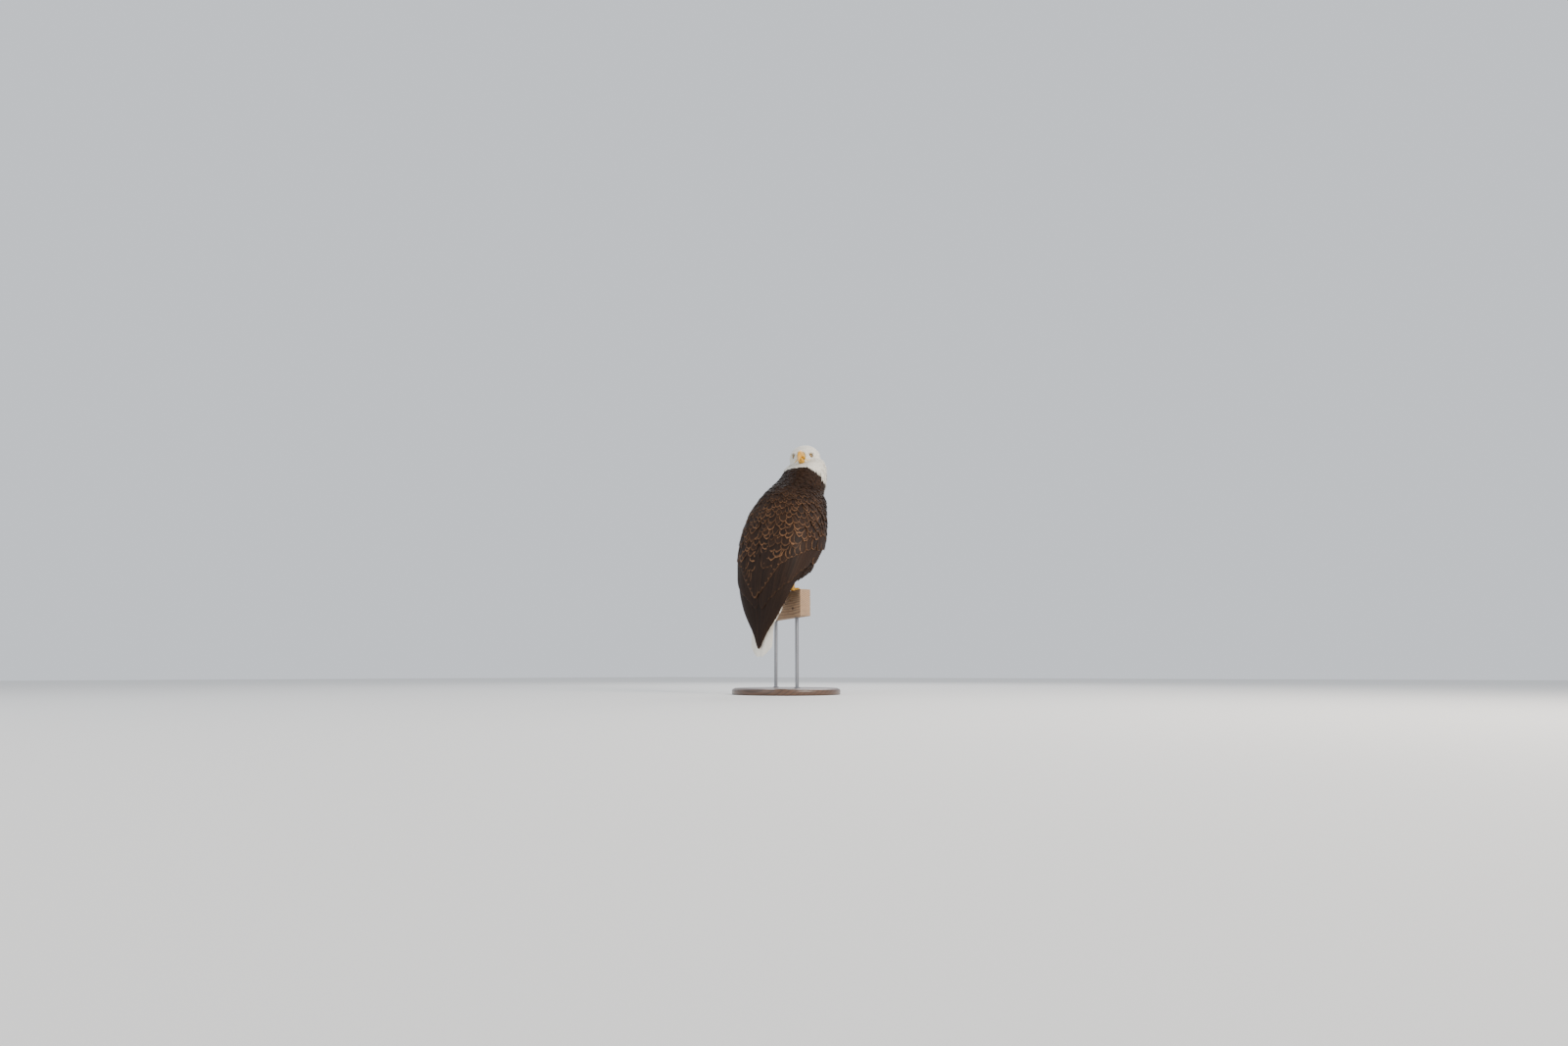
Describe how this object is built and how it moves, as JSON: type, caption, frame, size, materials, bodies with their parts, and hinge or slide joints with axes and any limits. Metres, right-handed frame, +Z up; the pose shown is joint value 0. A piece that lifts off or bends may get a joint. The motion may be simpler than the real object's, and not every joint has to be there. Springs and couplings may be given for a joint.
{
  "type": "bald eagle",
  "caption": "Life-size still model of an adult bald eagle perched on a short length of timber rail, looking back over its right shoulder, on a plain round display stand.",
  "frame": {"origin": "middle of the underside of the stand's round base", "axes": "+Z up; the bird's breast faces -Y and its left wing is towards +X"},
  "size_m": [0.37, 0.37, 0.9031],
  "materials": {
    "dark_plumage": "matt layered feathers",
    "white_plumage": "matt layered feathers",
    "bill": "satin horn",
    "eyes": "wet gloss",
    "yellow_skin": "scaly skin",
    "claws": "polished horn",
    "timber": "weathered, bare",
    "stand_wood": "dark satin varnish",
    "stand_steel": "dark satin"
  },
  "bodies": {
    "root": {"trunk": "dark_plumage", "thigh_left": "dark_plumage", "thigh_right": "dark_plumage", "wing_left": "dark_plumage", "wing_right": "dark_plumage", "wingtip_left": "dark_plumage", "wingtip_right": "dark_plumage", "head": "white_plumage", "neck": "white_plumage", "tail": "white_plumage", "undertail": "white_plumage", "bill_upper": "bill", "bill_lower": "bill", "eye_left": "eyes", "eye_right": "eyes", "shank_left": "yellow_skin", "shank_right": "yellow_skin", "foot_left": "yellow_skin", "foot_right": "yellow_skin", "claw_left_1": "claws", "claw_left_2": "claws", "claw_left_3": "claws", "claw_left_hind": "claws", "claw_right_1": "claws", "claw_right_2": "claws", "claw_right_3": "claws", "claw_right_hind": "claws", "perch_rail": "timber", "stand_base": "stand_wood", "stand_rod_left": "stand_steel", "stand_rod_right": "stand_steel"}
  },
  "joints": []
}
